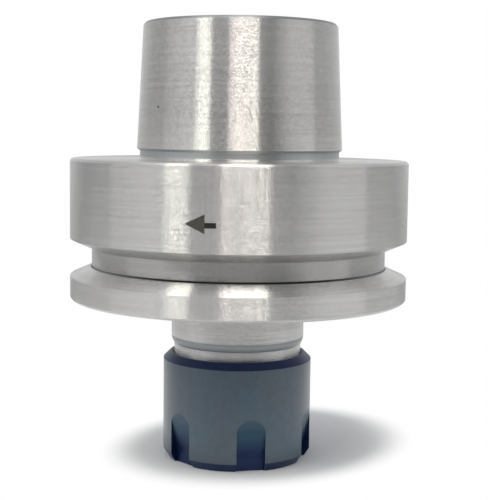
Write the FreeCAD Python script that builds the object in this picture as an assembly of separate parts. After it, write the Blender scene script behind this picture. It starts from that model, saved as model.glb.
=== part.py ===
"""Collet chuck holder with a hollow taper shank, standing on its clamping nut.

The holder is one turned body: a hollow 1:10 taper shank, a 63 mm flange with a gripper groove, a
short neck and a threaded nose with an 8 degree seat. The slotted nut on the nose presses a spring
collet into that seat, and draws it out again with an eccentric ring inside the nut.

Lengths are in millimetres and angles in degrees. +Z points from the nut to the shank, and the
origin is the centre of the nut's lower face. Threads are plain cylinders with a running clearance.
"""
import FreeCAD, Part

import math
import os
from FreeCAD import Vector

# Spring collet of size 20, which sets the seat, the nose and the nut
COLLET_D = 21.0
COLLET_LENGTH = 31.5
COLLET_BORE_D = 10.0
SEAT_ANGLE = 8.0
FRONT_ANGLE = 30.0
COLLAR_DEPTH = 1.6
COLLAR_LENGTH = 2.2
COLLET_GROOVE_DEPTH = 0.9
COLLET_GROOVE_WIDTH = 2.8
FRONT_CONE_STEP = 0.1
COLLET_EDGE_CHAMFER = 0.3
COLLET_SLOT_PAIRS = 4
COLLET_SLOT_WIDTH = 0.9
REAR_BRIDGE = 4.5
FRONT_BRIDGE = 6.5

# Nose and neck
NOSE_WALL = 1.5
NOSE_CHAMFER = 0.6
NECK_STEP = 0.5
NECK_LENGTH = 7.1
NECK_ROOT_CHAMFER = 0.8
THREAD_RUNOUT = 1.5
THREAD_IN_VIEW = 1.7
SEAT_RELIEF_LENGTH = 3.0
SEAT_RELIEF_DEPTH = 0.45
SEAT_REAR_ROOM = 2.0
DRILL_POINT_ANGLE = 59.0
THROUGH_BORE_D = 11.0

# Flange and gripper groove
FLANGE_D = 63.0
BAND_WIDTH = 14.74
LOWER_RIM_WIDTH = 4.32
GROOVE_DEPTH = 4.0
GROOVE_FLOOR_WIDTH = 3.46
GROOVE_FLANK_ANGLE = 23.5
FACE_CHAMFER = 0.4
RIM_CHAMFER = 0.45

# Hollow taper shank
SHANK_LENGTH = 25.0
TAPER_D = 38.0
TAPER_GAUGE_HEIGHT = 5.0
TAPER_RATIO = 9.98
SHANK_END_CHAMFER = 0.5
UNDERCUT_DEPTH = 0.65
UNDERCUT_WIDTH = 1.5
UNDERCUT_RUNOUT = 0.4
FACE_RELIEF_WIDTH = 0.45
FACE_RELIEF_DEPTH = 0.15
SHANK_WALL = 4.5
MOUTH_LENGTH = 7.5
MOUTH_CHAMFER = 0.8
SHOULDER_ANGLE = 30.0
SHOULDER_DEPTH = 1.5
CLAW_GROOVE_WIDTH = 3.4
CAVITY_STEP = 1.5
CAVITY_DEPTH = 25.0
UNION_BORE_D = 15.0
UNION_BORE_DEPTH = 12.0

# Clamping nut
NUT_WALL = 2.0
NUT_LENGTH = 20.0
NUT_THREAD_LENGTH = 10.0
NUT_THREAD_ENTRY = 0.35
FOOT_CHAMFER_WIDTH = 1.0
FOOT_CHAMFER_HEIGHT = 1.55
TOP_CHAMFER_WIDTH = 1.25
TOP_CHAMFER_HEIGHT = 1.2
RING_ECCENTRICITY = 0.5
RING_ENGAGEMENT = 0.75
WRENCH_SLOTS = 6
WRENCH_SLOT_WIDTH = 5.3
WRENCH_SLOT_HEIGHT = 9.8
WRENCH_SLOT_DEPTH = 1.7
WRENCH_SLOT_RUNOUT_RADIUS = 6.5
WRENCH_SLOT_TURN = 11.5

# Places and clearances between the pieces
COLLET_RECESS = 0.5
NOSE_END_GAP = 0.3
THREAD_CLEARANCE = 0.05
SEAT_CLEARANCE = 0.04
CONE_CLEARANCE = 0.05
RING_CLEARANCE = 0.2
COLLAR_CLEARANCE = 0.4
COLLET_HEAD_CLEARANCE = 0.45

# How far a cutting tool reaches past the surface it cuts
OVERRUN = 1.0


def tan(degrees):
    return math.tan(math.radians(degrees))


def cos(degrees):
    return math.cos(math.radians(degrees))


# Radii of the collet, from its collar to its rear end
COLLET_R = COLLET_D / 2
COLLAR_R = COLLET_R - COLLAR_DEPTH
COLLET_GROOVE_R = COLLAR_R - COLLET_GROOVE_DEPTH
FRONT_CONE_R = COLLAR_R + FRONT_CONE_STEP

# Heights of the collet's features when it sits in the nut
COLLET_FRONT = COLLET_RECESS
COLLAR_TOP = COLLET_FRONT + COLLAR_LENGTH
FRONT_CONE_BOTTOM = COLLAR_TOP + COLLET_GROOVE_WIDTH
COLLET_WIDEST = FRONT_CONE_BOTTOM + (COLLET_R - FRONT_CONE_R) / tan(FRONT_ANGLE)
COLLET_REAR = COLLET_FRONT + COLLET_LENGTH

# Radii and heights of the holder
THREAD_R = COLLET_R + NOSE_WALL
NECK_R = THREAD_R + NECK_STEP
FLANGE_R = FLANGE_D / 2
NOSE_END = NUT_LENGTH - NUT_THREAD_LENGTH + NOSE_END_GAP
THREAD_END = NUT_LENGTH + THREAD_IN_VIEW
NECK_BOTTOM = THREAD_END + THREAD_RUNOUT
FLANGE_BOTTOM = NECK_BOTTOM + NECK_LENGTH
GROOVE_FLANK = GROOVE_DEPTH * tan(GROOVE_FLANK_ANGLE)
GROOVE_BOTTOM = FLANGE_BOTTOM + LOWER_RIM_WIDTH
GROOVE_TOP = GROOVE_BOTTOM + GROOVE_FLOOR_WIDTH + 2 * GROOVE_FLANK
FACE = GROOVE_TOP + BAND_WIDTH
SHANK_END = FACE + SHANK_LENGTH


def taper_radius(height):
    """Radius of the shank's 1:10 taper at a height."""
    return (TAPER_D - (height - FACE - TAPER_GAUGE_HEIGHT) / TAPER_RATIO) / 2


def collet_radius(height):
    """Radius of the collet's long taper at a height."""
    return COLLET_R - (height - COLLET_WIDEST) * tan(SEAT_ANGLE)


def seat_radius(height):
    """Radius of the holder's seat, which stands off the collet by the seat clearance."""
    return collet_radius(height) + SEAT_CLEARANCE / cos(SEAT_ANGLE)


def turned(outline):
    """A solid of revolution about Z from a closed outline of (radius, height) points."""
    points = [Vector(radius, 0, height) for radius, height in outline]
    wire = Part.makePolygon(points + points[:1])
    return Part.Face(wire).revolve(Vector(0, 0, 0), Vector(0, 0, 1), 360)


def turned_about_z(shape, degrees):
    copy = shape.copy()
    copy.rotate(Vector(0, 0, 0), Vector(0, 0, 1), degrees)
    return copy


def holder_outside():
    """Outline of the holder from the nose up to the shank's end."""
    undercut_r = taper_radius(FACE) - UNDERCUT_DEPTH
    taper_start = FACE + UNDERCUT_WIDTH + UNDERCUT_RUNOUT
    taper_big_r = taper_radius(taper_start)
    groove_r = FLANGE_R - GROOVE_DEPTH
    end_r = taper_radius(SHANK_END)
    nose = [
        (THREAD_R - NOSE_CHAMFER, NOSE_END),
        (THREAD_R, NOSE_END + NOSE_CHAMFER),
        (THREAD_R, THREAD_END),
        (NECK_R, NECK_BOTTOM),
        (NECK_R, FLANGE_BOTTOM - NECK_ROOT_CHAMFER),
        (NECK_R + NECK_ROOT_CHAMFER, FLANGE_BOTTOM),
    ]
    flange = [
        (FLANGE_R - RIM_CHAMFER, FLANGE_BOTTOM),
        (FLANGE_R, FLANGE_BOTTOM + RIM_CHAMFER),
        (FLANGE_R, GROOVE_BOTTOM),
        (groove_r, GROOVE_BOTTOM + GROOVE_FLANK),
        (groove_r, GROOVE_TOP - GROOVE_FLANK),
        (FLANGE_R, GROOVE_TOP),
        (FLANGE_R, FACE - FACE_CHAMFER),
        (FLANGE_R - FACE_CHAMFER, FACE),
    ]
    shank = [
        (taper_big_r + FACE_RELIEF_WIDTH, FACE),
        (undercut_r, FACE - FACE_RELIEF_DEPTH),
        (undercut_r, FACE + UNDERCUT_WIDTH),
        (taper_big_r, taper_start),
        (taper_radius(SHANK_END - SHANK_END_CHAMFER), SHANK_END - SHANK_END_CHAMFER),
        (end_r - SHANK_END_CHAMFER, SHANK_END),
    ]
    return nose + flange + shank


def holder_inside():
    """Outline of the holder's bores from the shank's end down to the collet seat."""
    mouth_r = TAPER_D / 2 - SHANK_WALL
    claw_r = mouth_r + SHOULDER_DEPTH
    cavity_r = mouth_r - CAVITY_STEP
    shoulder_top = SHANK_END - MOUTH_LENGTH
    shoulder_bottom = shoulder_top - SHOULDER_DEPTH / tan(SHOULDER_ANGLE)
    claw_bottom = shoulder_bottom - CLAW_GROOVE_WIDTH
    cavity_floor = SHANK_END - CAVITY_DEPTH
    union_floor = cavity_floor - UNION_BORE_DEPTH
    shank = [
        (mouth_r + MOUTH_CHAMFER, SHANK_END),
        (mouth_r, SHANK_END - MOUTH_CHAMFER),
        (mouth_r, shoulder_top),
        (claw_r, shoulder_bottom),
        (claw_r, claw_bottom),
        (cavity_r, claw_bottom),
        (cavity_r, cavity_floor),
        (UNION_BORE_D / 2, cavity_floor),
        (UNION_BORE_D / 2, union_floor),
    ]
    seat_top = COLLET_REAR - SEAT_RELIEF_LENGTH
    pocket_r = seat_radius(seat_top) + SEAT_RELIEF_DEPTH
    pocket_top = COLLET_REAR + SEAT_REAR_ROOM
    through_r = THROUGH_BORE_D / 2
    seat = [
        (through_r, union_floor),
        (through_r, pocket_top + (pocket_r - through_r) / tan(DRILL_POINT_ANGLE)),
        (pocket_r, pocket_top),
        (pocket_r, seat_top),
        (seat_radius(seat_top), seat_top),
        (seat_radius(NOSE_END), NOSE_END),
    ]
    return shank + seat


def holder_body():
    """Hollow shank, flange, neck, nose and seat, turned from one piece of steel."""
    return turned(holder_outside() + holder_inside())


def collet_slots(first_angle, bottom, top):
    """Thin saw cuts right across the collet, two slots each, evenly turned about its axis."""
    cuts = []
    reach = COLLET_R + OVERRUN
    for index in range(COLLET_SLOT_PAIRS):
        cut = Part.makeBox(2 * reach, COLLET_SLOT_WIDTH, top - bottom)
        cut.translate(Vector(-reach, -COLLET_SLOT_WIDTH / 2, bottom))
        cuts.append(turned_about_z(cut, first_angle + index * 180 / COLLET_SLOT_PAIRS))
    return cuts


def spring_collet():
    """Double-taper collet, slotted from both ends in turn so that it closes evenly."""
    bore_r = COLLET_BORE_D / 2
    edge = COLLET_EDGE_CHAMFER
    body = turned([
        (bore_r, COLLET_FRONT),
        (COLLAR_R - edge, COLLET_FRONT),
        (COLLAR_R, COLLET_FRONT + edge),
        (COLLAR_R, COLLAR_TOP),
        (COLLET_GROOVE_R, COLLAR_TOP),
        (COLLET_GROOVE_R, FRONT_CONE_BOTTOM),
        (FRONT_CONE_R, FRONT_CONE_BOTTOM),
        (COLLET_R, COLLET_WIDEST),
        (collet_radius(COLLET_REAR - edge), COLLET_REAR - edge),
        (collet_radius(COLLET_REAR) - edge, COLLET_REAR),
        (bore_r, COLLET_REAR),
    ])
    half_step = 90 / COLLET_SLOT_PAIRS
    front = collet_slots(0, COLLET_FRONT - OVERRUN, COLLET_REAR - REAR_BRIDGE)
    rear = collet_slots(half_step, COLLET_FRONT + FRONT_BRIDGE, COLLET_REAR + OVERRUN)
    return body.cut(front + rear)


def wrench_slot(nut_r):
    """One wrench slot at -Y: open below, with an arched top where its floor runs out."""
    floor_r = nut_r - WRENCH_SLOT_DEPTH
    half = WRENCH_SLOT_WIDTH / 2
    runout = WRENCH_SLOT_RUNOUT_RADIUS
    rise = math.sqrt(runout ** 2 - (runout - WRENCH_SLOT_DEPTH) ** 2)
    straight_top = WRENCH_SLOT_HEIGHT - rise
    reach = nut_r + OVERRUN

    floor = Part.makeBox(WRENCH_SLOT_WIDTH, reach - floor_r, straight_top + OVERRUN)
    floor.translate(Vector(-half, -reach, -OVERRUN))
    ramp = Part.makeCylinder(runout, WRENCH_SLOT_WIDTH, Vector(-half, -floor_r - runout, straight_top),
                             Vector(1, 0, 0))

    arch_centre = WRENCH_SLOT_HEIGHT - half
    sides = Part.makeBox(WRENCH_SLOT_WIDTH, reach, arch_centre + OVERRUN)
    sides.translate(Vector(-half, -reach, -OVERRUN))
    arch = Part.makeCylinder(half, reach, Vector(0, -reach, arch_centre), Vector(0, 1, 0))
    return floor.fuse(ramp).common(sides.fuse(arch))


def clamping_nut():
    """Slotted nut with its thread, pressing cone and eccentric extraction ring in one piece."""
    nut_r = THREAD_R + NUT_WALL
    thread_r = THREAD_R + THREAD_CLEARANCE
    thread_bottom = NUT_LENGTH - NUT_THREAD_LENGTH
    opening_r = COLLAR_R + COLLAR_CLEARANCE
    ring_bottom = COLLAR_TOP + RING_CLEARANCE
    ring_top = FRONT_CONE_BOTTOM - RING_CLEARANCE
    ring_bore_r = COLLAR_R - RING_ENGAGEMENT + RING_ECCENTRICITY
    ring_stock_r = ring_bore_r - 2 * RING_ECCENTRICITY
    cone_r = FRONT_CONE_R + CONE_CLEARANCE / cos(FRONT_ANGLE)
    head_r = COLLET_R + COLLET_HEAD_CLEARANCE
    cone_top = FRONT_CONE_BOTTOM + (head_r - cone_r) / tan(FRONT_ANGLE)
    nut = turned([
        (opening_r, 0),
        (nut_r - FOOT_CHAMFER_WIDTH, 0),
        (nut_r, FOOT_CHAMFER_HEIGHT),
        (nut_r, NUT_LENGTH - TOP_CHAMFER_HEIGHT),
        (nut_r - TOP_CHAMFER_WIDTH, NUT_LENGTH),
        (thread_r + NUT_THREAD_ENTRY, NUT_LENGTH),
        (thread_r, NUT_LENGTH - NUT_THREAD_ENTRY),
        (thread_r, thread_bottom),
        (head_r, thread_bottom),
        (head_r, cone_top),
        (cone_r - RING_CLEARANCE * tan(FRONT_ANGLE), ring_top),
        (ring_stock_r, ring_top),
        (ring_stock_r, ring_bottom),
        (opening_r, ring_bottom),
    ])
    ring_bore = Part.makeCylinder(ring_bore_r, ring_top, Vector(RING_ECCENTRICITY, 0, 0))
    cuts = [ring_bore]
    for index in range(WRENCH_SLOTS):
        angle = WRENCH_SLOT_TURN + index * 360 / WRENCH_SLOTS
        cuts.append(turned_about_z(wrench_slot(nut_r), angle))
    return nut.cut(cuts)


PIECES = {
    "holder_body": holder_body,
    "spring_collet": spring_collet,
    "clamping_nut": clamping_nut,
}


def main():
    os.makedirs("parts", exist_ok=True)
    for name, make in PIECES.items():
        shape = make()
        if shape.ShapeType == "Compound" and len(shape.Solids) == 1:
            shape = shape.Solids[0]
        shape.exportStep("parts/" + name + ".step")
        box = shape.BoundBox
        print(name, "valid", shape.isValid(), "solids", len(shape.Solids),
              "volume %.1f mm3" % shape.Volume, "z %.2f to %.2f" % (box.ZMin, box.ZMax))


main()
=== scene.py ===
"""Looks of a collet chuck holder: ground steel body, blued slotted nut and spring collet.

The pieces are turned from their outlines and milled, as the real ones are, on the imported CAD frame.
Heights are measured from the nut's lower face, which stands on the floor.
"""
import math

import bmesh
import bpy
from bpy.props import FloatProperty, FloatVectorProperty, IntProperty, PointerProperty
from mathutils import Euler, Matrix, Vector


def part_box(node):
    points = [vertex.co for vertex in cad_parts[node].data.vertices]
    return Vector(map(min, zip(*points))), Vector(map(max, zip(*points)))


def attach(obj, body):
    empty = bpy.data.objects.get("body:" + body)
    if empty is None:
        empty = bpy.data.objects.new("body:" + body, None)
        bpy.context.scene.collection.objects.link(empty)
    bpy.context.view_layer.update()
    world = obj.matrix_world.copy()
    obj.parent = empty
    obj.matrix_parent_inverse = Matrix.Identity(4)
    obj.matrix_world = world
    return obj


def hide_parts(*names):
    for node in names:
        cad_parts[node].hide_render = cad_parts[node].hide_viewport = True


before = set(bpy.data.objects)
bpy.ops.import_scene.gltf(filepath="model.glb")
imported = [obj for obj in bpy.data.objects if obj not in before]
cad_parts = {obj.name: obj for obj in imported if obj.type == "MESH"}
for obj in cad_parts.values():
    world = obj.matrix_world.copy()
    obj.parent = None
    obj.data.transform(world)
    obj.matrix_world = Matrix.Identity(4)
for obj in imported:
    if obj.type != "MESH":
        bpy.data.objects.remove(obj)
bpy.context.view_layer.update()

bl_info = {
    "name": "Collet chuck holder",
    "version": (1, 0, 0),
    "blender": (4, 5, 0),
    "location": "3D View > Sidebar > Collet chuck",
    "description": "Builds the looks of a hollow-shank collet chuck holder with its nut and collet",
    "category": "Object",
}

MM = 0.001

HOLDER_LOW, HOLDER_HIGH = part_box("holder_body")
COLLET_LOW, COLLET_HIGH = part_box("spring_collet")
NUT_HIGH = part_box("clamping_nut")[1]

# Material slots of the holder and the nut, in the order in which they are added
GROUND, CORNER_SHADE, UNGROUND_AND_SHADED, FLANK, RELIEF_AND_SHADE = range(5)
TURNED, MILLED = range(2)

# How far cutters reach past the piece
CUT_OVER = 1 * MM

# The radius's share in the turning marks, so that level faces have marks too
RADIUS_SHARE = 1.7

# Forms of the collet that its seat in the holder depends on
COLLAR_DEPTH = 1.6 * MM
COLLAR_LENGTH = 2.2 * MM
COLLET_GROOVE = (2.8 * MM, 0.9 * MM)
FRONT_STEP = 0.1 * MM
FRONT_SLOPE = math.radians(30)


# Properties that a user would change

def length(name, description, millimetres):
    return FloatProperty(name=name, description=description, default=millimetres * MM,
                         unit='LENGTH', precision=5)


def angle(name, description, degrees):
    return FloatProperty(name=name, description=description, default=math.radians(degrees),
                         unit='ROTATION')


def hex_to_linear(text):
    """An sRGB hex colour as linear red, green and blue."""
    channels = [int(text[i:i + 2], 16) / 255 for i in (1, 3, 5)]
    return [c / 12.92 if c <= 0.04045 else ((c + 0.055) / 1.055) ** 2.4 for c in channels]


def colour(name, description, text):
    return FloatVectorProperty(name=name, description=description, default=hex_to_linear(text),
                               size=3, subtype='COLOR', min=0, max=1)


class HolderSizes(bpy.types.PropertyGroup):
    """Sizes of the turned holder body."""
    band_width: length("Band width", "Height of the flange above the gripper groove", 14.74)
    lower_rim: length("Lower rim", "Height of the flange below the gripper groove", 4.32)
    groove_depth: length("Groove depth", "Depth of the gripper groove", 4.0)
    groove_floor: length("Groove floor", "Height of the gripper groove's floor", 3.46)
    groove_flank: angle("Groove flank", "Slope of the groove's flanks from level", 23.5)
    face_chamfer: length("Face chamfer", "Chamfer at the spindle face", 0.4)
    rim_chamfer: length("Rim chamfer", "Chamfer at the flange's lower edge", 0.45)
    shank_length: length("Shank length", "Height of the hollow shank above the face", 25.0)
    gauge_diameter: length("Gauge diameter", "Diameter of the taper at its gauge height", 38.0)
    gauge_height: length("Gauge height", "Height above the face where the taper is gauged", 5.0)
    taper_ratio: FloatProperty(name="Taper ratio", description="Length per unit of diameter lost",
                               default=9.98)
    shank_wall: length("Shank wall", "Wall at the shank's mouth", 4.5)
    undercut_depth: length("Undercut depth", "Depth of the relief below the taper", 0.65)
    undercut_width: length("Undercut width", "Height of the relief below the taper", 1.5)
    thread_diameter: length("Thread diameter", "Outside diameter of the nose thread", 24.0)
    thread_pitch: length("Thread pitch", "Pitch of the nose thread", 1.0)
    neck_diameter: length("Neck diameter", "Diameter of the neck under the flange", 25.0)


class NutSizes(bpy.types.PropertyGroup):
    """Sizes of the clamping nut."""
    diameter: length("Diameter", "Outside diameter", 28.0)
    opening: length("Opening", "Diameter of the opening round the collet", 18.6)
    slots: IntProperty(name="Wrench slots", description="Number of wrench slots", default=6)
    slot_width: length("Slot width", "Width of a wrench slot", 5.3)
    slot_height: length("Slot height", "Height of a wrench slot's arch", 9.8)
    slot_depth: length("Slot depth", "Depth of a wrench slot", 1.7)
    slot_turn: angle("Slot turn", "Turn of the slots from the front", 11.5)


class ColletSizes(bpy.types.PropertyGroup):
    """Sizes of the spring collet."""
    diameter: length("Diameter", "Largest diameter", 21.0)
    bore: length("Bore", "Diameter of the tool bore", 10.0)
    seat_angle: angle("Seat angle", "Half angle of the long taper", 8.0)
    slot_planes: IntProperty(name="Slot planes", description="Saw cuts from each end", default=4)
    slot_width: length("Slot width", "Width of a saw cut", 0.9)
    rear_bridge: length("Rear bridge", "Uncut length at the rear end", 4.5)
    front_bridge: length("Front bridge", "Uncut length at the front end", 6.5)


class Finishes(bpy.types.PropertyGroup):
    """Colours of the finishes, and of the shade painted into the holder's corner, shoulder and relief."""
    steel: colour("Ground steel", "Bright ground alloy steel", "#d3d2d1")
    steel_dull: colour("Turned steel", "Darker tone in the turning lines", "#cac9c8")
    spring_steel: colour("Spring steel", "Hardened and ground spring steel", "#b9b8b6")
    # Unground steel, which on the neck's shoulder above the nut also serves as painted shade
    steel_raw: colour("Unground steel", "Hardened steel that the grinding wheel did not reach", "#979b9d")
    # The relief's darker tone is partly painted shade of the recess below the taper
    relief_steel_and_shade: colour("Relief steel and painted shade", "Turned steel of the relief below the taper", "#b5babc")
    oxide_turned: colour("Oxide, turned", "Blue-black oxide on the turned outside", "#535b64")
    oxide_tint: colour("Oxide, tinted", "Greener clouds in the oxide of the outside", "#4b5f6c")
    oxide_milled: colour("Oxide, milled", "Dark blue oxide on chamfers and slots", "#122c5a")
    oxide_teal: colour("Oxide, teal", "Teal oxide towards the top of the slots", "#22485e")
    # Painted shade: the dark colour of the groove's lower corner, in front only, in place of its shade
    oil: colour("Painted corner shade", "Painted shade in the groove's corner", "#1c1b1a")
    marking: colour("Marking", "Laser-marked arrow head", "#5f5e57")
    marking_dark: colour("Dark marking", "Laser-marked arrow shaft", "#33332f")
    floor: colour("Floor", "Pale studio floor", "#e2e4e7")


# Meshes

def corner_turn(index, count):
    return math.tau * index / count


def turned(outline, ease, steps):
    """A closed outline of (radius, height) points, its corners eased, spun once round Z."""
    bm = bmesh.new()
    corners = [bm.verts.new((radius, 0, height)) for radius, height in outline]
    for start, end in zip(corners, corners[1:] + corners[:1]):
        bm.edges.new((start, end))
    if ease:
        bmesh.ops.bevel(bm, geom=corners, offset=ease, offset_type='OFFSET', segments=2,
                        profile=0.5, affect='VERTICES', material=-1)
    bmesh.ops.spin(bm, geom=bm.verts[:] + bm.edges[:], cent=(0, 0, 0), axis=(0, 0, 1),
                   angle=math.tau, steps=steps, use_merge=True)
    bmesh.ops.recalc_face_normals(bm, faces=bm.faces)
    return bm


def prism(outline, direction):
    """A flat closed outline of points, extruded along a vector."""
    bm = bmesh.new()
    face = bm.faces.new([bm.verts.new(point) for point in outline])
    top = bmesh.ops.extrude_face_region(bm, geom=[face], use_keep_orig=True)["geom"]
    bmesh.ops.translate(bm, verts=[v for v in top if isinstance(v, bmesh.types.BMVert)],
                        vec=direction)
    bmesh.ops.recalc_face_normals(bm, faces=bm.faces)
    return bm


def as_object(name, bm, *materials):
    """A new object from a bmesh, which is freed."""
    mesh = bpy.data.meshes.new(name)
    bm.to_mesh(mesh)
    bm.free()
    for material in materials:
        mesh.materials.append(material)
    piece = bpy.data.objects.new(name, mesh)
    bpy.context.scene.collection.objects.link(piece)
    return piece


def machined(piece, tool, operation='DIFFERENCE'):
    """The piece with the tool's volume cut away or kept, and the tool thrown away."""
    step = piece.modifiers.new("machining", 'BOOLEAN')
    step.object = tool
    step.operation = operation
    step.solver = 'EXACT'
    step.material_mode = 'TRANSFER'
    bpy.context.view_layer.update()
    graph = bpy.context.evaluated_depsgraph_get()
    result = bpy.data.meshes.new_from_object(piece.evaluated_get(graph))
    piece.modifiers.remove(step)
    rough = piece.data
    piece.data = result
    bpy.data.meshes.remove(rough)
    # The tool's object goes with its mesh
    bpy.data.meshes.remove(tool.data)
    if not piece.data.polygons:
        raise RuntimeError(piece.name + ": the cut left nothing")
    return piece


def smooth_with_sharp_edges(piece, sharp=math.radians(28)):
    """Smooth faces, with the edges between clearly different ones kept sharp."""
    bm = bmesh.new()
    bm.from_mesh(piece.data)
    bmesh.ops.dissolve_degenerate(bm, dist=1e-7, edges=bm.edges[:])
    for face in bm.faces:
        face.smooth = True
    for edge in bm.edges:
        edge.smooth = edge.calc_face_angle(0) < sharp
    bm.to_mesh(piece.data)
    bm.free()
    weights = piece.modifiers.new("even normals", 'WEIGHTED_NORMAL')
    weights.keep_sharp = True
    weights.weight = 60


def place(piece, body, node):
    """The piece rides on its body and stands for its CAD node."""
    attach(piece, body)
    if node:
        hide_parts(node)


# Materials

def add_node(tree, kind, inputs=None, **settings):
    """A node with its settings and inputs: values, sockets, or nodes for their first output."""
    node = tree.nodes.new(kind)
    for name, value in settings.items():
        setattr(node, name, value)
    for key, value in (inputs or {}).items():
        if isinstance(value, bpy.types.Node):
            value = value.outputs[0]
        if isinstance(value, bpy.types.NodeSocket):
            tree.links.new(value, node.inputs[key])
        else:
            node.inputs[key].default_value = value
    return node


def new_material(name, surface, *settings):
    """A material whose surface a function makes from these settings."""
    material = bpy.data.materials.new(name)
    material.use_nodes = True
    tree = material.node_tree
    tree.nodes.clear()
    add_node(tree, 'ShaderNodeOutputMaterial', {"Surface": surface(tree, *settings)})
    return material


def rgba(rgb):
    return (*rgb, 1.0)


def per_metre(millimetres):
    """How often a pattern with this feature size repeats in a metre."""
    return 1 / (millimetres * MM)


def noise_marks(tree, spot, across, along, detail, low, high, clamp):
    """Noise from low to high, its marks so many mm long across Z and along it."""
    scaled = add_node(tree, 'ShaderNodeMapping', {
        "Vector": spot,
        "Scale": (per_metre(across), per_metre(across), per_metre(along)),
    })
    noise = add_node(tree, 'ShaderNodeTexNoise', {
        "Vector": scaled, "Scale": 1.0, "Detail": detail, "Roughness": 0.6,
    })
    # Most of the noise lies between 0.3 and 0.7
    return add_node(tree, 'ShaderNodeMapRange', {
        0: noise, 1: 0.3, 2: 0.7, 3: low, 4: high}, clamp=clamp)


def surface_grain(tree, across, along, detail=2.0, low=0.0, high=1.0):
    """An uneven pattern from low to high, its marks so many mm long round the axis and along it."""
    spot = add_node(tree, 'ShaderNodeTexCoord').outputs["Object"]
    return noise_marks(tree, spot, across, along, detail, low, high, clamp=True)


def turned_grain(tree, across, along, detail=2.0, low=0.0, high=1.0):
    """Marks that run round the Z axis: so many mm long, and so many mm wide on the turned outline."""
    spot = add_node(tree, 'ShaderNodeTexCoord').outputs["Object"]
    x, y, z = add_node(tree, 'ShaderNodeSeparateXYZ', {0: spot}).outputs
    flat = add_node(tree, 'ShaderNodeVectorMath', {0: spot, 1: (1, 1, 0)}, operation='MULTIPLY')
    radius = add_node(tree, 'ShaderNodeVectorMath', {0: flat}, operation='LENGTH').outputs["Value"]
    outline = add_node(tree, 'ShaderNodeMath', {
        0: radius, 1: RADIUS_SHARE, 2: z}, operation='MULTIPLY_ADD')
    around = add_node(tree, 'ShaderNodeCombineXYZ', {0: x, 1: y, 2: outline})
    return noise_marks(tree, around, across, along, detail, low, high, clamp=False)


def leaning_normal(tree, ring, lean):
    """The surface's normal, which leans across the turning marks by so much."""
    surface = add_node(tree, 'ShaderNodeNewGeometry').outputs["Normal"]
    outline = add_node(tree, 'ShaderNodeVectorMath', {0: surface, 1: ring}, operation='CROSS_PRODUCT')
    side = add_node(tree, 'ShaderNodeVectorMath', {0: outline, "Scale": lean}, operation='SCALE')
    leaning = add_node(tree, 'ShaderNodeVectorMath', {0: surface, 1: side}, operation='ADD')
    return add_node(tree, 'ShaderNodeVectorMath', {0: leaning}, operation='NORMALIZE')


def ground_steel(tree, bright, dull, slopes):
    """Alloy steel, turned and finely ground: streaks along the axis from fine lines round it."""
    tone = turned_grain(tree, across=30.0, along=0.3)
    base = add_node(tree, 'ShaderNodeMix', {0: tone, 6: rgba(dull), 7: rgba(bright)}, data_type='RGBA')
    # Grinding lines, a few micrometres wide
    fine = turned_grain(tree, across=0.15, along=0.003, detail=1.0, low=slopes[0], high=slopes[1])
    # Coarser marks, drawn wide enough to show as a speckle in the bright streaks
    coarse = turned_grain(tree, across=0.45, along=0.3, detail=1.0, low=-0.15, high=0.15)
    lean = add_node(tree, 'ShaderNodeMath', {0: fine, 1: coarse}, operation='ADD')
    ring = add_node(tree, 'ShaderNodeTangent', direction_type='RADIAL', axis='Z')
    return add_node(tree, 'ShaderNodeBsdfPrincipled', {
        "Base Color": base.outputs[2],
        "Metallic": 1.0,
        "Roughness": 0.2,
        "Anisotropic": 1.0,
        "Anisotropic Rotation": 0.25,
        "Tangent": ring,
        "Normal": leaning_normal(tree, ring, lean),
    })


def colour_ramp(tree, factor, stops):
    """Colours along a factor from 0 to 1: (position, colour) pairs."""
    ramp = add_node(tree, 'ShaderNodeValToRGB', {0: factor})
    elements = ramp.color_ramp.elements
    elements.remove(elements[-1])
    for index, (position, rgb) in enumerate(stops):
        element = elements[0] if index == 0 else elements.new(position)
        element.position = position
        element.color = rgba(rgb)
    return ramp


def object_axis(tree, axis, low, high):
    """0 at one place along an axis, 1 at the other."""
    spot = add_node(tree, 'ShaderNodeTexCoord').outputs["Object"]
    axes = add_node(tree, 'ShaderNodeSeparateXYZ', {0: spot}).outputs
    return add_node(tree, 'ShaderNodeMapRange', {0: axes[axis], 1: low, 2: high})


def painted_corner_shade(tree, shade_colour, steel):
    """Painted shade in a corner: dark and dull in front, gone before the sides."""
    # Places along Y: the front of the corner is at -27.5 mm
    unshaded = object_axis(tree, 1, -24.5 * MM, -14.0 * MM)
    tint = add_node(tree, 'ShaderNodeMix', {0: unshaded, 6: rgba(shade_colour), 7: rgba(steel)}, data_type='RGBA')
    return add_node(tree, 'ShaderNodeBsdfPrincipled', {
        "Base Color": tint.outputs[2], "Metallic": unshaded, "Roughness": 0.6,
    })


def blued_skin(tree, tint, roughness, metal, oil):
    """Steel blued in a hot oxide bath and oiled: a thin, dark blue-black skin with a fine grain."""
    mottle = surface_grain(tree, across=1.2, along=1.2, detail=3.0, low=0.92, high=1.06)
    # Blast grain is about 0.1 mm; drawn wider, so that it shows
    grain = surface_grain(tree, across=0.35, along=0.25)
    shade = add_node(tree, 'ShaderNodeVectorMath', {0: tint, "Scale": mottle}, operation='SCALE')
    relief = add_node(tree, 'ShaderNodeBump', {
        "Height": grain, "Strength": 0.3, "Distance": 0.01 * MM,
    })
    return add_node(tree, 'ShaderNodeBsdfPrincipled', {
        "Base Color": shade,
        "Metallic": metal,
        "Roughness": roughness,
        "Coat Weight": oil,
        "Coat Roughness": 0.35,
        "Normal": relief,
    })


def blued_turned(tree, finishes):
    """The turned outside: blue-black, with faint greener clouds."""
    clouds = surface_grain(tree, across=9.0, along=9.0)
    tint = add_node(tree, 'ShaderNodeMix', {
        0: clouds, 6: rgba(finishes.oxide_turned), 7: rgba(finishes.oxide_tint)}, data_type='RGBA')
    return blued_skin(tree, tint.outputs[2], roughness=0.45, metal=1.0, oil=0.8)


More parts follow.
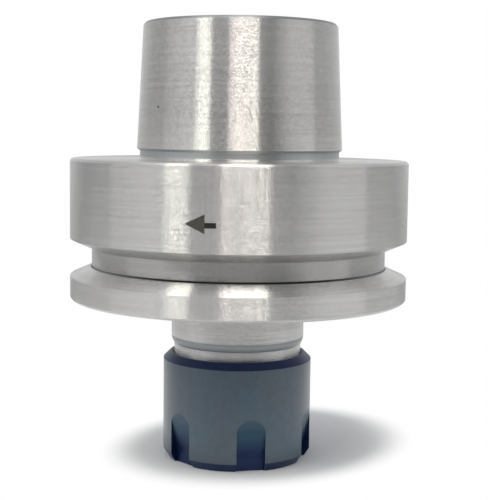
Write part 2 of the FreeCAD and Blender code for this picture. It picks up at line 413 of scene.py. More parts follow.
def blued_milled(tree, finishes):
    """Chamfers and slots: darker and bluer, teal where the slots run out into the outside."""
    navy, teal, outside = finishes.oxide_milled, finishes.oxide_teal, finishes.oxide_tint
    # The ramp's positions are shares of a height of 20 mm
    height = object_axis(tree, 2, 0, 20 * MM)
    tint = colour_ramp(tree, height, (
        (0.17, navy), (0.33, teal), (0.38, teal), (0.51, outside), (0.53, outside), (0.56, navy)))
    return blued_skin(tree, tint, roughness=0.4, metal=0.6, oil=0.25)


def unground_steel_and_shade(tree, rgb):
    """Hardened steel that was not ground after turning: darker and duller than the ground faces. On the
    neck's shoulder and the relief below the taper, the darker tone is partly painted shade.
    """
    ring = add_node(tree, 'ShaderNodeTangent', direction_type='RADIAL', axis='Z')
    tone = turned_grain(tree, across=20.0, along=0.3, low=0.92, high=1.05)
    shade = add_node(tree, 'ShaderNodeVectorMath', {0: tuple(rgb), "Scale": tone}, operation='SCALE')
    return add_node(tree, 'ShaderNodeBsdfPrincipled', {
        "Base Color": shade,
        "Metallic": 1.0,
        "Roughness": 0.4,
        "Anisotropic": 0.8,
        "Anisotropic Rotation": 0.25,
        "Tangent": ring,
    })


def laser_mark(tree, rgb):
    """Steel annealed dark by a marking laser: dull, with a fine grain."""
    grain = surface_grain(tree, across=0.3, along=0.3, low=0.85, high=1.1)
    shade = add_node(tree, 'ShaderNodeVectorMath', {0: tuple(rgb), "Scale": grain}, operation='SCALE')
    return add_node(tree, 'ShaderNodeBsdfPrincipled', {
        "Base Color": shade, "Metallic": 0.2, "Roughness": 0.6,
    })


# Pieces

def taper_radius(sizes, above_face):
    """Radius of the shank's taper at a height above the spindle face."""
    return (sizes.gauge_diameter - (above_face - sizes.gauge_height) / sizes.taper_ratio) / 2


class COLLETCHUCK_OT_holder(bpy.types.Operator):
    """Turn the holder body and cut the thread on its nose"""
    bl_idname = "collet_chuck.holder"
    bl_label = "Holder body"

    nose_chamfer = 0.6 * MM
    thread_in_view = 1.7 * MM
    thread_runout = 1.5 * MM
    neck_root = 0.8 * MM
    shank_end_chamfer = 0.5 * MM
    undercut_runout = 0.4 * MM
    face_relief = (0.45 * MM, 0.15 * MM)
    mouth_length = 7.5 * MM
    mouth_chamfer = 0.8 * MM
    shoulder = (1.5 * MM, math.radians(30))
    claw_groove = 3.4 * MM
    cavity_step = 1.5 * MM
    cavity_depth = 25.0 * MM
    union_bore = (15.0 * MM, 12.0 * MM)
    through_bore = 11.0 * MM
    seat_relief = (3.0 * MM, 0.45 * MM)
    rear_room = 2.0 * MM
    drill_point = math.radians(59)
    seat_gap = 0.04 * MM
    undercut_edge = 0.1 * MM
    undercut_foot = 0.4 * MM
    # The painted shade in the groove's lower corner, up the groove's floor and out on its flank
    corner_shade_up = 0.25 * MM
    corner_shade_out = 0.22 * MM
    # How far the sides of the grinding lines lean, down and up
    slopes = (-0.8, 0.8)
    flank_slopes = (-1.05, 0.45)
    # Thread form in pitches, and how far below the nut's top its full depth ends
    thread_depth = 0.6134
    thread_root = 1 / 16
    thread_flank = math.radians(30)
    thread_overcut = 0.1
    thread_covered = 1.5
    turn_steps = 72
    shoulder_points = 6
    ease = 0.09 * MM
    steps = 256

    def execute(self, context):
        sizes = context.scene.holder_sizes
        finishes = context.scene.chuck_finishes
        bright, dull, raw = finishes.steel, finishes.steel_dull, finishes.steel_raw
        materials = (
            new_material("ground turned steel", ground_steel, bright, dull, self.slopes),
            new_material("painted corner shade", painted_corner_shade, finishes.oil, raw),
            new_material("unground turned steel and painted shade", unground_steel_and_shade, raw),
            new_material("turned steel flank", ground_steel, bright, dull, self.flank_slopes),
            new_material("turned relief steel and painted shade", unground_steel_and_shade, finishes.relief_steel_and_shade),
        )
        outline = self.outside(sizes) + self.inside(context, sizes)
        piece = as_object("holder_steel", turned(outline, self.ease, self.steps), *materials)
        self.mark_finishes(piece, sizes)
        machined(piece, as_object("thread_cutter", self.thread_cutter(sizes), materials[GROUND]))
        smooth_with_sharp_edges(piece)
        place(piece, "holder", "holder_body")
        return {'FINISHED'}

    def mark_finishes(self, piece, sizes):
        """The painted shade in the groove's lower corner, the flank beside it, the faces left unground and
        the relief below the taper, whose darker tones are partly painted shade.
        """
        face, _, flank, groove_bottom, _ = self.heights(sizes)
        corner = groove_bottom + flank
        floor_r = HOLDER_HIGH.x - sizes.groove_depth
        corner_shade_r = floor_r + self.corner_shade_out
        corner_shade_drop = self.corner_shade_out * math.tan(sizes.groove_flank)
        neck_r = sizes.neck_diameter / 2
        relief_r = taper_radius(sizes, 0) - self.undercut_edge
        relief_top = sizes.undercut_width + self.undercut_runout
        mouth_r = sizes.gauge_diameter / 2 - sizes.shank_wall + self.mouth_chamfer
        shoulder = NUT_HIGH.z + self.thread_in_view
        for part in piece.data.polygons:
            radius, level = part.center.xy.length, part.center.z
            on_floor = corner - self.ease < level < corner + self.corner_shade_up and radius < floor_r + self.ease
            on_flank = corner - corner_shade_drop < level <= corner and radius < corner_shade_r
            on_shaded_shoulder = 0 < level - shoulder < self.thread_runout and radius < neck_r
            on_chamfer = level > HOLDER_HIGH.z - self.shank_end_chamfer and radius > mouth_r
            # The groove's lower corner, with a little of its floor and flank, gets painted shade
            if radius > floor_r - self.ease and (on_floor or on_flank):
                part.material_index = CORNER_SHADE
            elif groove_bottom < level < corner and radius > corner_shade_r:
                part.material_index = FLANK
            # The relief below the taper: turned steel, its darker tone partly painted shade of the recess
            elif self.undercut_foot < level - face < relief_top and neck_r < radius < relief_r:
                part.material_index = RELIEF_AND_SHADE
            # The neck's shoulder above the nut gets this darker steel partly as painted shade, in place of
            # the dark reflection of the nut and the shaded floor. The shank's end chamfer is unground
            # steel.
            elif radius > sizes.thread_diameter / 2 - self.ease and (on_shaded_shoulder or on_chamfer):
                part.material_index = UNGROUND_AND_SHADED

    def heights(self, sizes):
        """Heights of the flange's features, worked down from the shank's end."""
        face = HOLDER_HIGH.z - sizes.shank_length
        groove_top = face - sizes.band_width
        flank = sizes.groove_depth * math.tan(sizes.groove_flank)
        groove_bottom = groove_top - sizes.groove_floor - 2 * flank
        flange_bottom = groove_bottom - sizes.lower_rim
        return face, groove_top, flank, groove_bottom, flange_bottom

    def outside(self, sizes):
        face, groove_top, flank, groove_bottom, flange_bottom = self.heights(sizes)
        corner = groove_bottom + flank
        flange_r = HOLDER_HIGH.x
        floor_r = flange_r - sizes.groove_depth
        thread_r = sizes.thread_diameter / 2
        neck_r = sizes.neck_diameter / 2
        thread_end = NUT_HIGH.z + self.thread_in_view
        undercut_r = taper_radius(sizes, 0) - sizes.undercut_depth
        taper_start = sizes.undercut_width + self.undercut_runout
        taper_big_r = taper_radius(sizes, taper_start)
        relief_width, relief_depth = self.face_relief
        end_chamfer = self.shank_end_chamfer
        end = HOLDER_HIGH.z
        return [
            (thread_r - self.nose_chamfer, HOLDER_LOW.z),
            (thread_r, HOLDER_LOW.z + self.nose_chamfer),
            (thread_r, thread_end),
            *self.shoulder_curve(neck_r, thread_end + self.thread_runout, neck_r - thread_r),
            (neck_r, flange_bottom - self.neck_root),
            (neck_r + self.neck_root, flange_bottom),
            (flange_r - sizes.rim_chamfer, flange_bottom),
            (flange_r, flange_bottom + sizes.rim_chamfer),
            (flange_r, groove_bottom),
            (floor_r + self.corner_shade_out, corner - self.corner_shade_out * math.tan(sizes.groove_flank)),
            (floor_r, corner),
            (floor_r, corner + self.corner_shade_up),
            (floor_r, groove_top - flank),
            (flange_r, groove_top),
            (flange_r, face - sizes.face_chamfer),
            (flange_r - sizes.face_chamfer, face),
            (taper_big_r + relief_width, face),
            (undercut_r, face - relief_depth),
            (undercut_r, face + self.undercut_foot),
            (undercut_r, face + sizes.undercut_width),
            (taper_big_r, face + taper_start),
            (taper_radius(sizes, sizes.shank_length - end_chamfer), end - end_chamfer),
            (taper_radius(sizes, sizes.shank_length) - end_chamfer, end),
        ]

    def shoulder_curve(self, radius, top, depth):
        """The neck's rounded lower shoulder, from its foot up to the neck."""
        length = self.thread_runout
        round_r = (depth ** 2 + length ** 2) / (2 * depth)
        sweep = math.asin(length / round_r)
        points = []
        for index in range(self.shoulder_points):
            turn = sweep * (1 - index / (self.shoulder_points - 1))
            points.append((radius - round_r * (1 - math.cos(turn)), top - round_r * math.sin(turn)))
        return points

    def inside(self, context, sizes):
        collet = context.scene.collet_sizes
        end = HOLDER_HIGH.z
        mouth_r = sizes.gauge_diameter / 2 - sizes.shank_wall
        depth, slope = self.shoulder
        claw_r = mouth_r + depth
        cavity_r = mouth_r - self.cavity_step
        shoulder_top = end - self.mouth_length
        shoulder_bottom = shoulder_top - depth / math.tan(slope)
        claw_bottom = shoulder_bottom - self.claw_groove
        cavity_floor = end - self.cavity_depth
        union_r, union_depth = self.union_bore[0] / 2, self.union_bore[1]
        union_floor = cavity_floor - union_depth
        through_r = self.through_bore / 2
        relief_length, relief_depth = self.seat_relief
        seat_top = COLLET_HIGH.z - relief_length
        pocket_r = self.seat_radius(collet, seat_top) + relief_depth
        pocket_top = COLLET_HIGH.z + self.rear_room
        return [
            (mouth_r + self.mouth_chamfer, end),
            (mouth_r, end - self.mouth_chamfer),
            (mouth_r, shoulder_top),
            (claw_r, shoulder_bottom),
            (claw_r, claw_bottom),
            (cavity_r, claw_bottom),
            (cavity_r, cavity_floor),
            (union_r, cavity_floor),
            (union_r, union_floor),
            (through_r, union_floor),
            (through_r, pocket_top + (pocket_r - through_r) / math.tan(self.drill_point)),
            (pocket_r, pocket_top),
            (pocket_r, seat_top),
            (self.seat_radius(collet, seat_top), seat_top),
            (self.seat_radius(collet, HOLDER_LOW.z), HOLDER_LOW.z),
        ]

    def seat_radius(self, collet, height):
        widest = collet_widest(collet)
        gap = self.seat_gap / math.cos(collet.seat_angle)
        return collet.diameter / 2 - (height - widest) * math.tan(collet.seat_angle) + gap

    def thread_cutter(self, sizes):
        """A V groove wound right-handed round the nose, which runs out in a quarter turn under the nut."""
        pitch = sizes.thread_pitch
        crest_r = sizes.thread_diameter / 2
        depth = self.thread_depth * pitch
        half_root = self.thread_root * pitch
        over = self.thread_overcut * pitch
        half_mouth = half_root + (depth + over) * math.tan(self.thread_flank)
        rise = pitch / self.turn_steps
        start = HOLDER_LOW.z - pitch
        turns = round((NUT_HIGH.z - self.thread_covered * pitch - start) / pitch)
        bm = bmesh.new()
        section = [
            (crest_r - depth, -half_root), (crest_r + over, -half_mouth),
            (crest_r + over, half_mouth), (crest_r - depth, half_root),
        ]
        face = bm.faces.new([bm.verts.new((r, 0, start + z)) for r, z in section])
        wound = bmesh.ops.spin(bm, geom=[face], cent=(0, 0, 0), axis=(0, 0, 1), dvec=(0, 0, rise),
                               angle=math.tau * turns, steps=self.turn_steps * turns)
        last = wound["geom_last"]
        runout_steps = self.turn_steps // 4
        for _ in range(runout_steps):
            wound = bmesh.ops.spin(bm, geom=last, cent=(0, 0, 0), axis=(0, 0, 1), dvec=(0, 0, rise),
                                   angle=math.tau / self.turn_steps, steps=1)
            last = wound["geom_last"]
            ends = [v for v in last if isinstance(v, bmesh.types.BMVert)]
            outward = sum((v.co.xy.to_3d() for v in ends), Vector()).normalized()
            bmesh.ops.translate(bm, verts=ends, vec=outward * (depth + over) / runout_steps)
        bmesh.ops.recalc_face_normals(bm, faces=bm.faces)
        return bm


class COLLETCHUCK_OT_nut(bpy.types.Operator):
    """Turn the clamping nut, bore its eccentric ring and mill its wrench slots"""
    bl_idname = "collet_chuck.nut"
    bl_label = "Clamping nut"

    foot_chamfer = (1.0 * MM, 1.55 * MM)
    top_chamfer = (1.25 * MM, 1.2 * MM)
    thread_length = 10.0 * MM
    thread_gap = 0.05 * MM
    thread_entry = 0.35 * MM
    ring_bottom = 2.9 * MM
    ring_top = 5.3 * MM
    ring_eccentricity = 0.5 * MM
    ring_bore = 17.3 * MM
    cone = (9.115 * MM, 5.3 * MM)
    head_radius = 10.95 * MM
    cone_slope = math.radians(30)
    ramp_start = 2.0 * MM
    ramp_steps = 24
    ramp_sag = 0.35
    arch_steps = 32
    skin_depth = 0.02 * MM
    ease = 0.07 * MM
    steps = 192

    def execute(self, context):
        sizes = context.scene.nut_sizes
        finishes = context.scene.chuck_finishes
        skin = new_material("blued turned steel", blued_turned, finishes)
        cut = new_material("blued milled steel", blued_milled, finishes)
        outline = self.outline(context, sizes)
        piece = as_object("nut_blued", turned(outline, self.ease, self.steps), skin, cut)
        self.finish_chamfers(piece, sizes)
        bore = bmesh.new()
        bmesh.ops.create_cone(bore, cap_ends=True, segments=128, radius1=self.ring_bore / 2,
                              radius2=self.ring_bore / 2, depth=self.ring_top * 2,
                              matrix=Matrix.Translation((self.ring_eccentricity, 0, 0)))
        machined(piece, as_object("ring_bore", bore, cut))
        machined(piece, self.slot_cutters(sizes, cut))
        smooth_with_sharp_edges(piece)
        place(piece, "nut", "clamping_nut")
        return {'FINISHED'}

    def outline(self, context, sizes):
        outer = sizes.diameter / 2
        bore = context.scene.holder_sizes.thread_diameter / 2 + self.thread_gap
        opening = sizes.opening / 2
        stock = self.ring_bore / 2 - 2 * self.ring_eccentricity
        cone_r, cone_z = self.cone
        top = NUT_HIGH.z
        thread_bottom = top - self.thread_length
        return [
            (opening, 0),
            (outer - self.foot_chamfer[0], 0),
            (outer, self.foot_chamfer[1]),
            (outer, top - self.top_chamfer[1]),
            (outer - self.top_chamfer[0], top),
            (bore + self.thread_entry, top),
            (bore, top - self.thread_entry),
            (bore, thread_bottom),
            (self.head_radius, thread_bottom),
            (self.head_radius, cone_z + (self.head_radius - cone_r) / math.tan(self.cone_slope)),
            (cone_r, cone_z),
            (stock, self.ring_top),
            (stock, self.ring_bottom),
            (opening, self.ring_bottom),
        ]

    def finish_chamfers(self, piece, sizes):
        """Everything but the turned outside has the darker, milled-looking skin."""
        for face in piece.data.polygons:
            outside = face.center.xy.length > sizes.diameter / 2 - self.skin_depth
            face.material_index = TURNED if outside else MILLED

    def slot_cutters(self, sizes, material):
        """One cutter, open below, arched above and ramped outwards, repeated round the nut."""
        outer = sizes.diameter / 2
        half = sizes.slot_width / 2
        reach = outer + CUT_OVER
        side = [(-half, -reach, -CUT_OVER), (-half, sizes.slot_depth - outer, -CUT_OVER)]
        for index in range(self.ramp_steps + 1):
            share = index / self.ramp_steps
            depth = sizes.slot_depth * (1 - share) * (1 - self.ramp_sag * share)
            height = self.ramp_start + share * (sizes.slot_height - self.ramp_start)
            side.append((-half, depth - outer, height))
        side.append((-half, -reach, sizes.slot_height))
        cutter = as_object("slot_cutter", prism(side, (2 * half, 0, 0)), material)
        centre = sizes.slot_height - half
        front = [(half, 0, -CUT_OVER)]
        for index in range(self.arch_steps + 1):
            turn = math.pi * index / self.arch_steps
            front.append((half * math.cos(turn), 0, centre + half * math.sin(turn)))
        front.append((-half, 0, -CUT_OVER))
        arch = as_object("slot_arch", prism(front, (0, -reach - CUT_OVER, 0)), material)
        machined(cutter, arch, 'INTERSECT')
        bm = bmesh.new()
        bm.from_mesh(cutter.data)
        bm.transform(Matrix.Rotation(sizes.slot_turn, 4, 'Z'))
        others = sizes.slots - 1
        bmesh.ops.spin(bm, geom=bm.verts[:] + bm.edges[:] + bm.faces[:], cent=(0, 0, 0), axis=(0, 0, 1),
                       angle=corner_turn(others, sizes.slots), steps=others, use_duplicate=True)
        bm.to_mesh(cutter.data)
        bm.free()
        return cutter


def collet_widest(collet):
    """Height of the collet's largest diameter, above its collar, groove and front cone."""
    collar_r = collet.diameter / 2 - COLLAR_DEPTH
    front_r = collar_r + FRONT_STEP
    cone = (collet.diameter / 2 - front_r) / math.tan(FRONT_SLOPE)
    return COLLET_LOW.z + COLLAR_LENGTH + COLLET_GROOVE[0] + cone


class COLLETCHUCK_OT_collet(bpy.types.Operator):
    """Turn the spring collet and saw its slots from both ends"""
    bl_idname = "collet_chuck.collet"
    bl_label = "Spring collet"

    edge = 0.3 * MM
    slopes = (-0.6, 0.6)
    inner_reach = 3.5 * MM
    ease = 0.05 * MM
    steps = 128

    def execute(self, context):
        sizes = context.scene.collet_sizes
        finishes = context.scene.chuck_finishes
        bright, dull = finishes.spring_steel, finishes.steel_dull
        steel = new_material("ground spring steel", ground_steel, bright, dull, self.slopes)
        piece = as_object("collet_steel", turned(self.outline(sizes), self.ease, self.steps), steel)
        low, high = COLLET_LOW.z, COLLET_HIGH.z
        half_step = math.pi / 2 / sizes.slot_planes
        front = self.saw_cuts(sizes, 0, low - CUT_OVER, high - sizes.rear_bridge)
        rear = self.saw_cuts(sizes, half_step, low + sizes.front_bridge, high + CUT_OVER)
        machined(piece, as_object("front_cuts", front, steel))
        machined(piece, as_object("rear_cuts", rear, steel))
        smooth_with_sharp_edges(piece)
        place(piece, "collet", "spring_collet")
        return {'FINISHED'}

    def outline(self, sizes):
        largest = sizes.diameter / 2
        bore = sizes.bore / 2
        collar = largest - COLLAR_DEPTH
        width, depth = COLLET_GROOVE
        low, high = COLLET_LOW.z, COLLET_HIGH.z
        edge = self.edge
        collar_top = low + COLLAR_LENGTH
        widest = collet_widest(sizes)
        slope = math.tan(sizes.seat_angle)
        return [
            (bore, low),
            (collar - edge, low),
            (collar, low + edge),
            (collar, collar_top),
            (collar - depth, collar_top),
            (collar - depth, collar_top + width),
            (collar + FRONT_STEP, collar_top + width),
            (largest, widest),
            (largest - (high - edge - widest) * slope, high - edge),
            (largest - (high - widest) * slope - edge, high),
            (bore, high),
        ]

    def saw_cuts(self, sizes, first, bottom, top):
        """Thin radial boxes, two to each plane."""
        bm = bmesh.new()
        reach = sizes.diameter / 2 + CUT_OVER
        count = 2 * sizes.slot_planes
        size = Vector((reach - self.inner_reach, sizes.slot_width, top - bottom))
        centre = Vector(((reach + self.inner_reach) / 2, 0, (top + bottom) / 2))
        for index in range(count):
            turn = Matrix.Rotation(first + corner_turn(index, count), 4, 'Z')
            shape = turn @ Matrix.Translation(centre) @ Matrix.Diagonal((*size, 1))
            bmesh.ops.create_cube(bm, size=1, matrix=shape)
        return bm


class COLLETCHUCK_OT_marks(bpy.types.Operator):
    """Mark the plain arrow on the flange and the dark speck on the taper"""
    bl_idname = "collet_chuck.marks"
    bl_label = "Arrow and speck"

    tip = (-8.78 * MM, 46.5 * MM)
    head_length = 3.34 * MM
    head_height = 3.2 * MM
    shaft_length = 1.92 * MM
    shaft_height = 0.9 * MM
    shaft_drop = 0.22 * MM
    proud = 0.012 * MM
    speck = (math.radians(-50), 65.67 * MM)
    speck_radius = 0.2 * MM
    strips = 12

    def execute(self, context):
        finishes = context.scene.chuck_finishes
        head = new_material("laser-marked steel", laser_mark, finishes.marking)
        shaft = new_material("laser-marked steel, dark", laser_mark, finishes.marking_dark)
        x, z = self.tip
        back = x + self.head_length
        half = self.head_height / 2
        thin = self.shaft_height / 2
        triangle = [(x, z), (back, z - half), (back, z + half)]
        middle = z - self.shaft_drop
        low, high = middle - thin, middle + thin
        end = back + self.shaft_length
        bar = [(back, low), (end, low), (end, high), (back, high)]
        for name, bm, material in (
                ("arrow_head", self.wrapped(triangle), head),
                ("arrow_shaft", self.wrapped(bar), shaft),
                ("taper_speck", self.small_disc(context), shaft)):
            place(as_object(name, bm, material), "holder", None)
        return {'FINISHED'}

    def small_disc(self, context):
        """A small flat disc that lies on the taper."""
        sizes = context.scene.holder_sizes
        turn, height = self.speck
        above_face = height - HOLDER_HIGH.z + sizes.shank_length
        radius = taper_radius(sizes, above_face) + self.proud
        slope = math.atan(1 / (2 * sizes.taper_ratio))
        facing = Matrix.Rotation(turn, 4, 'Z') @ Matrix.Translation((0, -radius, height))
        tilt = Matrix.Rotation(math.pi / 2 - slope, 4, 'X')
        bm = bmesh.new()
        bmesh.ops.create_circle(bm, cap_ends=True, segments=12, radius=self.speck_radius,
                                matrix=facing @ tilt)
        return bm

    def wrapped(self, outline):
        """A flat outline, cut into narrow strips and bent round the flange."""
        radius = HOLDER_HIGH.x + self.proud
        bm = bmesh.new()
        bm.faces.new([bm.verts.new((x, 0, z)) for x, z in outline])
        left = min(x for x, _ in outline)
        right = max(x for x, _ in outline)
        for index in range(1, self.strips):
            cut = left + (right - left) * index / self.strips
            bmesh.ops.bisect_plane(bm, geom=bm.verts[:] + bm.edges[:] + bm.faces[:],
                                   plane_co=(cut, 0, 0), plane_no=(1, 0, 0))
        for vert in bm.verts:
            around = vert.co.x / radius
            vert.co = (radius * math.sin(around), -radius * math.cos(around), vert.co.z)
        return bm


# Stage

WHITE = (1, 1, 1, 1)
NEUTRAL = "#ffffff"
PALE = "#fffff6"
COOL = "#fdffef"
WARM = "#fffaee"
ROSE = "#fff0ea"

# The brightness that 1 in a ramp stands for
FULL_LIGHT = 10.0

# Panels of the light tent from left to right: angle in degrees, colour, brightness
TABLE = (
    (-90, NEUTRAL, 0.55), (-71, NEUTRAL, 0.35), (-60, NEUTRAL, 0.09), (-50, NEUTRAL, 0.07),
    (13, NEUTRAL, 0.07), (18, NEUTRAL, 0.18), (30, NEUTRAL, 0.24), (40, NEUTRAL, 0.05),
    (50, NEUTRAL, 0.08), (61, NEUTRAL, 0.22), (71, NEUTRAL, 0.35), (90, NEUTRAL, 0.50),
)
WALLS = (
    (-90, PALE, 0.78), (-60, NEUTRAL, 0.77), (-38, NEUTRAL, 0.80), (-30, NEUTRAL, 0.72),
    (-23, NEUTRAL, 0.15), (-15, NEUTRAL, 0.08), (12, NEUTRAL, 0.06), (18, NEUTRAL, 0.12),
    (30, NEUTRAL, 0.48), (41, NEUTRAL, 0.66), (90, PALE, 0.60),
)
ROOF = (
    (-90, PALE, 1.20), (-70, NEUTRAL, 1.15), (-60, NEUTRAL, 1.15), (-41, NEUTRAL, 0.96),
    (-33, NEUTRAL, 1.10), (-27, NEUTRAL, 1.35), (-19, NEUTRAL, 1.40), (-13, NEUTRAL, 0.95),
    (-1, NEUTRAL, 1.10), (10, NEUTRAL, 0.85), (17, NEUTRAL, 0.48), (27, NEUTRAL, 0.95),
    (41, NEUTRAL, 1.10), (61, NEUTRAL, 1.02), (71, NEUTRAL, 1.10), (90, PALE, 1.25),
)
BACK = 0.70
STRIPS = (
    (-25.5, COOL, 0.0), (-23.5, COOL, 3.4), (-21.5, COOL, 5.6), (-19.5, COOL, 6.2), (-16.6, COOL, 5.8),
    (-15.5, COOL, 0.0), (-6.5, WARM, 0.0), (-5.4, WARM, 4.9), (-4.2, ROSE, 5.9), (-2.8, ROSE, 5.9),
    (-1.0, WARM, 7.6), (0.8, WARM, 7.6), (2.4, ROSE, 6.8), (4.6, WARM, 6.8), (6.2, WARM, 7.6),
    (7.8, WARM, 6.8), (9.4, WARM, 6.8), (10.6, WARM, 0.0),
)


class COLLETCHUCK_OT_stage(bpy.types.Operator):
    """Set the camera, the floor, the light tent and the white backdrop"""
    bl_idname = "collet_chuck.stage"
    bl_label = "Stage"

    camera_place = (1.05 * MM, -220.0 * MM, 61.99 * MM)
    camera_pitch = math.radians(-5.92)
    camera_roll = math.radians(0.69)
    focal_pixels = 1169.7
    frame_pixels = 500
    sensor = 36.0
    floor_radius = 120 * MM
    # Outside an ellipse round the object and its shadow, the pale floor washes out to plain white: a
    # painted glow whose edge, set to the shadow's shape, is the shadow's painted outline
    shade_centre = (4.8 * MM, 8.4 * MM, 0)
    shade_turn = (0, 0, math.radians(50))
    shade_size = (30.4 * MM, 24.4 * MM, 1)
    shade_edge = (0.83, 1.17)
    tent_radius = 1000 * MM
    # Heights over the horizon, from the front up and over, between which one zone turns into the next
    table_edge = (-8, 4)
    roof_edge = (18, 45)
    back_edge = (85, 115)
    strips_front = (48, 58)
    strips_back = (72, 82)

    def execute(self, context):
        self.make_camera(context)
        self.make_floor(context)
        self.make_tent()
        self.make_world(context)
        context.scene.view_settings.view_transform = 'Standard'
        return {'FINISHED'}

    def make_camera(self, context):
        data = bpy.data.cameras.new("photo_camera")
        data.sensor_width = self.sensor
        data.lens = self.focal_pixels * self.sensor / self.frame_pixels
        data.clip_start = 10 * MM
        camera = bpy.data.objects.new("photo_camera", data)
        tilt = Euler((math.pi / 2 + self.camera_pitch, 0, 0)).to_matrix()
        turn = (tilt @ Matrix.Rotation(self.camera_roll, 3, 'Z')).to_4x4()
        camera.matrix_world = Matrix.Translation(self.camera_place) @ turn
        context.scene.collection.objects.link(camera)
        context.scene.camera = camera

    def make_floor(self, context):
        material = new_material("matt pale floor", self.pale_floor, context.scene.chuck_finishes.floor)
        bm = bmesh.new()
        bmesh.ops.create_circle(bm, cap_ends=True, segments=128, radius=self.floor_radius)
        floor = as_object("floor", bm, material)

    def pale_floor(self, tree, rgb):
        """Matt and pale under the object, where it keeps the object's shadow; farther out it glows plain
        white, and the glow's edge is the painted outline of the shadow.
        """
        matt = add_node(tree, 'ShaderNodeBsdfDiffuse', {"Color": rgba(rgb)})
        seen = self.backdrop_rays(tree)
        glow = add_node(tree, 'ShaderNodeEmission', {"Color": WHITE, "Strength": seen})
        spot = add_node(tree, 'ShaderNodeTexCoord').outputs["Object"]
        ellipse = add_node(tree, 'ShaderNodeMapping', {
            "Vector": spot,
            "Location": self.shade_centre,
            "Rotation": self.shade_turn,
            "Scale": self.shade_size,
        }, vector_type='TEXTURE')
        away = add_node(tree, 'ShaderNodeVectorMath', {0: ellipse}, operation='LENGTH').outputs["Value"]
        inner, outer = self.shade_edge
        white = add_node(tree, 'ShaderNodeMapRange', {
            0: away, 1: inner, 2: outer}, interpolation_type='SMOOTHSTEP')
        both = add_node(tree, 'ShaderNodeMixShader', {0: white, 1: matt, 2: glow})
        # Clear from below, so that the object's underside can be looked at
        below = add_node(tree, 'ShaderNodeNewGeometry').outputs["Backfacing"]
        clear = add_node(tree, 'ShaderNodeBsdfTransparent')
        return add_node(tree, 'ShaderNodeMixShader', {0: below, 1: both, 2: clear})

    def make_tent(self):
        bm = bmesh.new()
        bmesh.ops.create_uvsphere(bm, u_segments=48, v_segments=24, radius=self.tent_radius)
        bmesh.ops.reverse_faces(bm, faces=bm.faces[:])
        tent = as_object("light_tent", bm, new_material("light tent", self.tent_light))
        tent.visible_camera = False

    def tent_light(self, tree):
        """A round light tent: grey walls, a paler roof, and two strip lights from front to back."""
        spot = add_node(tree, 'ShaderNodeTexCoord').outputs["Object"]
        unit = add_node(tree, 'ShaderNodeVectorMath', {0: spot}, operation='NORMALIZE')
        x, y, z = add_node(tree, 'ShaderNodeSeparateXYZ', {0: unit}).outputs
        behind = add_node(tree, 'ShaderNodeMath', {0: 1.0, 1: y}, operation='SUBTRACT')
        turn = add_node(tree, 'ShaderNodeMath', {0: x, 1: behind}, operation='ARCTAN2')
        across = add_node(tree, 'ShaderNodeMapRange', {0: turn, 1: -math.pi / 2, 2: math.pi / 2})
        front = add_node(tree, 'ShaderNodeMath', {0: y, 1: -1.0}, operation='MULTIPLY')
        over = add_node(tree, 'ShaderNodeMath', {0: z, 1: front}, operation='ARCTAN2')
        light, walls, roof, strips = [
            self.panels(tree, across, stops) for stops in (TABLE, WALLS, ROOF, STRIPS)]
        back = rgba([BACK / FULL_LIGHT] * 3)
        for zone, edge in ((walls, self.table_edge), (roof, self.roof_edge), (back, self.back_edge)):
            share = self.between(tree, over, edge)
            light = add_node(tree, 'ShaderNodeMix', {
                0: share, 6: light, 7: zone}, data_type='RGBA').outputs[2]
        begin = self.between(tree, over, self.strips_front)
        end = self.between(tree, over, self.strips_back[::-1])
        window = add_node(tree, 'ShaderNodeMath', {0: begin, 1: end}, operation='MULTIPLY')
        lamps = add_node(tree, 'ShaderNodeVectorMath', {0: strips, "Scale": window}, operation='SCALE')
        both = add_node(tree, 'ShaderNodeVectorMath', {0: light, 1: lamps}, operation='ADD')
        return add_node(tree, 'ShaderNodeEmission', {"Color": both, "Strength": FULL_LIGHT})

    def between(self, tree, over, limits):
        """0 at the first height over the horizon, 1 at the second."""
        low, high = (math.radians(limit) for limit in limits)
        return add_node(tree, 'ShaderNodeMapRange', {0: over, 1: low, 2: high})

    def panels(self, tree, across, stops):
        """Brightness and colour of panels side by side, as a ramp from 0 to FULL_LIGHT."""
        return colour_ramp(tree, across, [
            ((degrees + 90) / 180, [c * level / FULL_LIGHT for c in hex_to_linear(text)])
            for degrees, text, level in stops])

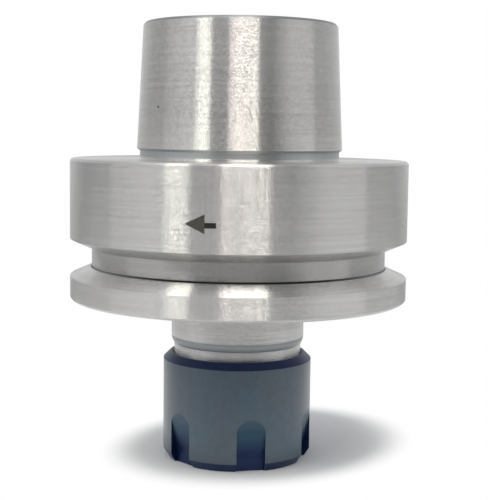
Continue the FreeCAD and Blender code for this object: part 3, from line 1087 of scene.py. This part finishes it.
    def backdrop_rays(self, tree):
        """1 for the rays that show the backdrop: from the camera, off metal and through glass."""
        rays = add_node(tree, 'ShaderNodeLightPath').outputs
        seen = rays["Is Camera Ray"]
        for kind in ("Is Glossy Ray", "Is Transmission Ray"):
            seen = add_node(tree, 'ShaderNodeMath', {0: seen, 1: rays[kind]}, operation='MAXIMUM')
        return seen

    def make_world(self, context):
        world = bpy.data.worlds.new("white backdrop")
        world.use_nodes = True
        tree = world.node_tree
        tree.nodes.clear()
        seen = self.backdrop_rays(tree)
        back = add_node(tree, 'ShaderNodeBackground', {"Color": WHITE, "Strength": seen})
        add_node(tree, 'ShaderNodeOutputWorld', {"Surface": back})
        context.scene.world = world


class COLLETCHUCK_PT_pieces(bpy.types.Panel):
    """The pieces and the stage, in the order in which they are made"""
    bl_idname = "COLLETCHUCK_PT_pieces"
    bl_label = "Collet chuck holder"
    bl_space_type = 'VIEW_3D'
    bl_region_type = 'UI'
    bl_category = "Collet chuck"

    def draw(self, context):
        for operator in OPERATORS:
            self.layout.operator(operator.bl_idname)


OPERATORS = (
    COLLETCHUCK_OT_holder,
    COLLETCHUCK_OT_nut,
    COLLETCHUCK_OT_collet,
    COLLETCHUCK_OT_marks,
    COLLETCHUCK_OT_stage,
)

SETTINGS = {
    "holder_sizes": HolderSizes,
    "nut_sizes": NutSizes,
    "collet_sizes": ColletSizes,
    "chuck_finishes": Finishes,
}


def register():
    for group in SETTINGS.values():
        bpy.utils.register_class(group)
    for name, group in SETTINGS.items():
        setattr(bpy.types.Scene, name, PointerProperty(type=group))
    for operator in OPERATORS:
        bpy.utils.register_class(operator)
    bpy.utils.register_class(COLLETCHUCK_PT_pieces)


def unregister():
    bpy.utils.unregister_class(COLLETCHUCK_PT_pieces)
    for operator in reversed(OPERATORS):
        bpy.utils.unregister_class(operator)
    for name, group in SETTINGS.items():
        delattr(bpy.types.Scene, name)
        bpy.utils.unregister_class(group)


def main():
    register()
    bpy.ops.collet_chuck.holder()
    bpy.ops.collet_chuck.nut()
    bpy.ops.collet_chuck.collet()
    bpy.ops.collet_chuck.marks()
    bpy.ops.collet_chuck.stage()


if __name__ == "__main__":
    main()
